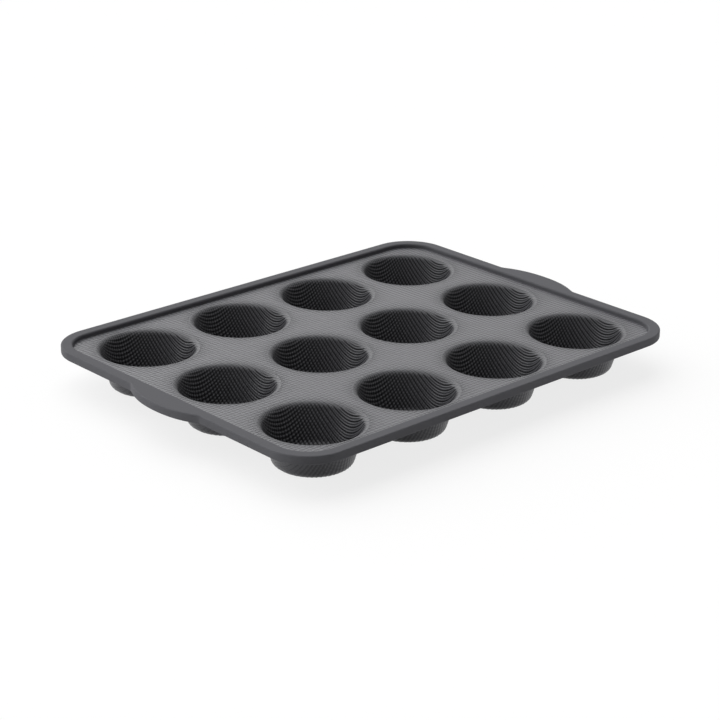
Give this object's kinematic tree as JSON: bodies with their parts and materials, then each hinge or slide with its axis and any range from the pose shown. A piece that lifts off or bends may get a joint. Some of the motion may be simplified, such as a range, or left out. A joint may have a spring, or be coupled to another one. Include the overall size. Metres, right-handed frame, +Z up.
{
  "type": "silicone muffin mould",
  "caption": "Flexible rectangular baking mould with rows of round tapered cups in a textured deck, a smooth raised rim and a grip tab on each short end.",
  "frame": {"origin": "on the table plane, under the middle of the tray", "axes": "+X along the longer side from one tab to the other, +Y along the shorter side, +Z up out of the cups"},
  "size_m": [0.358, 0.2642, 0.0304],
  "materials": {
    "rim_silicone": "smooth satin",
    "sheet_silicone": "fine woven texture, matte",
    "cup_silicone": "fine woven texture, matte",
    "hoop_steel": "drawn wire"
  },
  "bodies": {
    "root": {"rim": "rim_silicone", "rim_hoop": "hoop_steel", "deck": "sheet_silicone", "cup_1_1": "cup_silicone", "cup_1_2": "cup_silicone", "cup_1_3": "cup_silicone", "cup_1_4": "cup_silicone", "cup_2_1": "cup_silicone", "cup_2_2": "cup_silicone", "cup_2_3": "cup_silicone", "cup_2_4": "cup_silicone", "cup_3_1": "cup_silicone", "cup_3_2": "cup_silicone", "cup_3_3": "cup_silicone", "cup_3_4": "cup_silicone"}
  },
  "joints": []
}
